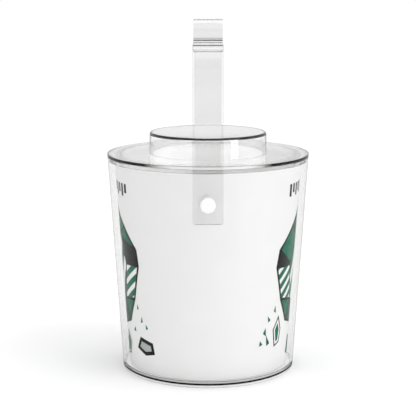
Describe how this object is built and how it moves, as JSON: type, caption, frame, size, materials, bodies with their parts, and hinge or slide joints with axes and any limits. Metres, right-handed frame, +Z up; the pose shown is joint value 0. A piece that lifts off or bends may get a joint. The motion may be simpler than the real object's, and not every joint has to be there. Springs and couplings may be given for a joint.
{
  "type": "ice bucket",
  "caption": "Clear double-wall ice bucket with a printed paper insert, a lift-off lid with a raised hollow cap, and a swinging strap handle.",
  "frame": {"origin": "centre of the foot, on the surface the bucket stands on", "axes": "+Z up along the bucket's axis, Y along the handle's pivot axis, X across the strap"},
  "size_m": [0.178, 0.1924, 0.3094],
  "materials": {
    "clear_wall": "gloss",
    "clear_lid": "gloss",
    "clear_strap": "gloss",
    "insert_paper": "satin",
    "white_button": "gloss"
  },
  "bodies": {
    "bucket": {"outer_shell": "clear_wall", "base_plate": "clear_wall", "inner_liner": "clear_wall", "printed_insert": "insert_paper", "front_pivot_button": "white_button", "back_pivot_button": "white_button", "front_pivot_spacer": "clear_strap", "back_pivot_spacer": "clear_strap", "front_pivot_retainer": "white_button", "back_pivot_retainer": "white_button"},
    "lid": {"lid_plate": "clear_lid", "lid_cap": "clear_lid", "lid_plug_ring": "clear_lid"},
    "handle": {"handle_strap": "clear_strap"}
  },
  "joints": [
    {"name": "handle_swing", "type": "hinge", "parent": "bucket", "child": "handle", "pos_m": [0, 0, 0.1613], "axis": [0, 1, 0], "range_deg": [-134, 134]},
    {"name": "lid_lift", "type": "slide", "parent": "bucket", "child": "lid", "axis": [0, 0, 1], "range_m": [0, 0.05]}
  ]
}
